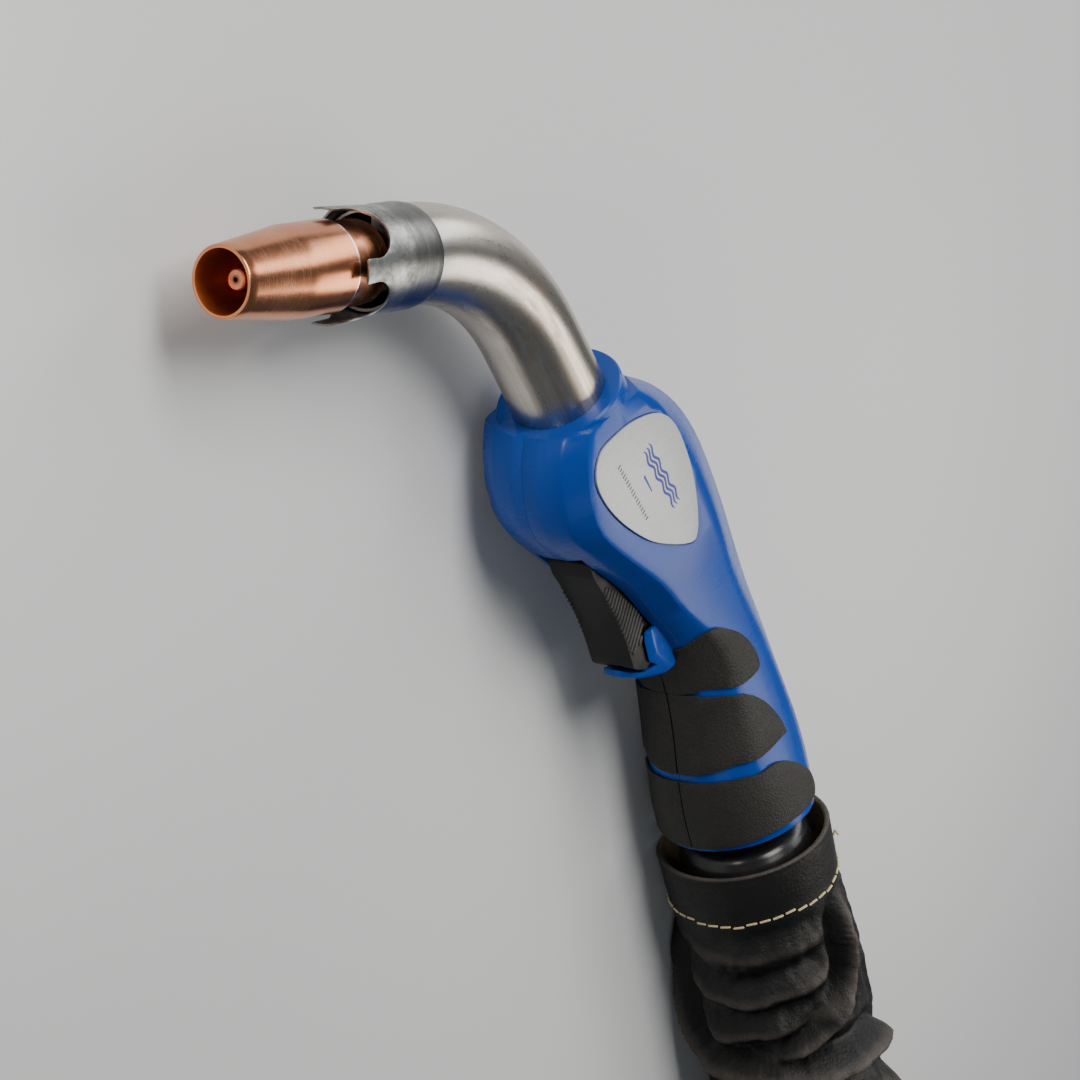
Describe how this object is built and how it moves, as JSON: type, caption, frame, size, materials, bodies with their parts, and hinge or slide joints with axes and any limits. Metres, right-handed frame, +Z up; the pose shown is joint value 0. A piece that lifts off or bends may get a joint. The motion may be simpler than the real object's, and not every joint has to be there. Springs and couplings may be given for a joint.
{
  "type": "fume extraction mig welding torch",
  "caption": "Handheld welding torch with a bent steel neck, copper gas nozzle, slotted extraction nozzle, trigger handle, swivel, leather-sleeved suction hose and machine plug.",
  "frame": {"origin": "on the floor, under the middle of the torch as it lies on its right side, hose and plug left out", "axes": "+Z up, square to the flat of the torch; +Y from the hose end of the handle towards its neck end; -X the way the nozzle leans"},
  "size_m": [0.4143, 0.8073, 0.164],
  "materials": {
    "handle_plastic": "satin-gloss moulded plastic",
    "badge_plate": "satin foil plate",
    "grip_rubber": "fine-grained soft rubber",
    "black_plastic": "glossy black plastic",
    "rib_plastic": "satin dark plastic",
    "neck_steel": "satin stainless tube",
    "skirt_steel": "brushed and heat-tinted sheet",
    "copper": "polished copper",
    "brass": "machined brass",
    "insulation": "glass-fibre sleeve",
    "seat_plastic": "moulded insulator",
    "white_plastic": "heat-resisting plastic",
    "steel": "bright plated steel",
    "cable_rubber": "smooth cable jacket",
    "red_plastic": "satin plastic",
    "leather": "soft grained leather",
    "hose": "corrugated plastic"
  },
  "bodies": {
    "hose": {"hose_ferrule": "black_plastic", "hose_clamp": "steel", "leather_sleeve": "leather", "hose_tube": "hose", "hose_coil": "hose", "hose_tail": "hose", "rear_housing_left": "handle_plastic", "rear_housing_right": "handle_plastic", "housing_screws": "steel", "plug_body": "brass", "gas_nipple": "brass", "suction_stub": "black_plastic"},
    "swivel_cup": {"swivel_cup": "black_plastic"},
    "torch": {"handle_shell_left": "handle_plastic", "handle_shell_right": "handle_plastic", "badge_left": "badge_plate", "badge_right": "badge_plate", "pad_upper_left": "grip_rubber", "pad_upper_right": "grip_rubber", "pad_middle_left": "grip_rubber", "pad_middle_right": "grip_rubber", "pad_lower_left": "grip_rubber", "pad_lower_right": "grip_rubber", "shell_screws": "steel", "neck_tube": "neck_steel", "inner_neck": "brass", "neck_insulation": "insulation", "neck_spacer": "white_plastic", "nozzle_seat": "seat_plastic", "nozzle_spring": "steel", "tip_holder": "brass", "contact_tip": "copper", "wire_liner": "cable_rubber", "cable_block": "brass", "power_cable": "cable_rubber", "trigger_pin": "steel", "trigger_spring": "steel", "micro_switch": "black_plastic", "switch_leads": "red_plastic"},
    "trigger": {"trigger_lever": "black_plastic", "trigger_ribs": "rib_plastic"},
    "switch_button": {"switch_plunger": "red_plastic"},
    "gas_nozzle": {"gas_nozzle": "copper"},
    "suction_nozzle": {"suction_nozzle": "skirt_steel"},
    "coupling_nut": {"coupling_nut": "black_plastic"},
    "contact_pin_a": {"contact_pin_a": "brass"},
    "contact_pin_b": {"contact_pin_b": "brass"}
  },
  "joints": [
    {"name": "swivel_tilt", "type": "hinge", "parent": "hose", "child": "swivel_cup", "pos_m": [0.0675, -0.1019, 0.0244], "axis": [0, 0, 1], "range_deg": [-9, 9]},
    {"name": "swivel_turn", "type": "hinge", "parent": "swivel_cup", "child": "torch", "pos_m": [0.0675, -0.1019, 0.0244], "axis": [0, 1, 0], "range_deg": [-180, 180]},
    {"name": "trigger_press", "type": "hinge", "parent": "torch", "child": "trigger", "pos_m": [0.024, -0.0019, 0.0244], "axis": [0, 0, 1], "range_deg": [0, 3.5], "stiffness_Nm_per_rad": 1.2, "springref_deg": -6.88},
    {"name": "switch_press", "type": "slide", "parent": "torch", "child": "switch_button", "axis": [1, 0, 0], "range_m": [0, 0.0017]},
    {"name": "gas_nozzle_pull", "type": "slide", "parent": "torch", "child": "gas_nozzle", "axis": [-0.9225, 0.3859, 0], "range_m": [0, 0.05]},
    {"name": "suction_nozzle_slide", "type": "slide", "parent": "torch", "child": "suction_nozzle", "axis": [-0.9225, 0.3859, 0], "range_m": [0, 0.012]},
    {"name": "coupling_nut_turn", "type": "hinge", "parent": "hose", "child": "coupling_nut", "pos_m": [-0.29028, -0.51776, 0.104], "axis": [-0.7431, 0.6691, 0], "continuous": true},
    {"name": "contact_pin_a_press", "type": "slide", "parent": "hose", "child": "contact_pin_a", "axis": [0.7431, -0.6691, 0], "range_m": [0, 0.0025], "stiffness_N_per_m": 400, "springref_m": -0.002},
    {"name": "contact_pin_b_press", "type": "slide", "parent": "hose", "child": "contact_pin_b", "axis": [0.7431, -0.6691, 0], "range_m": [0, 0.0025], "stiffness_N_per_m": 400, "springref_m": -0.002}
  ],
  "couplings": [
    {"joint": "switch_press", "follows": "trigger_press", "m_per_rad": 0.027}
  ]
}
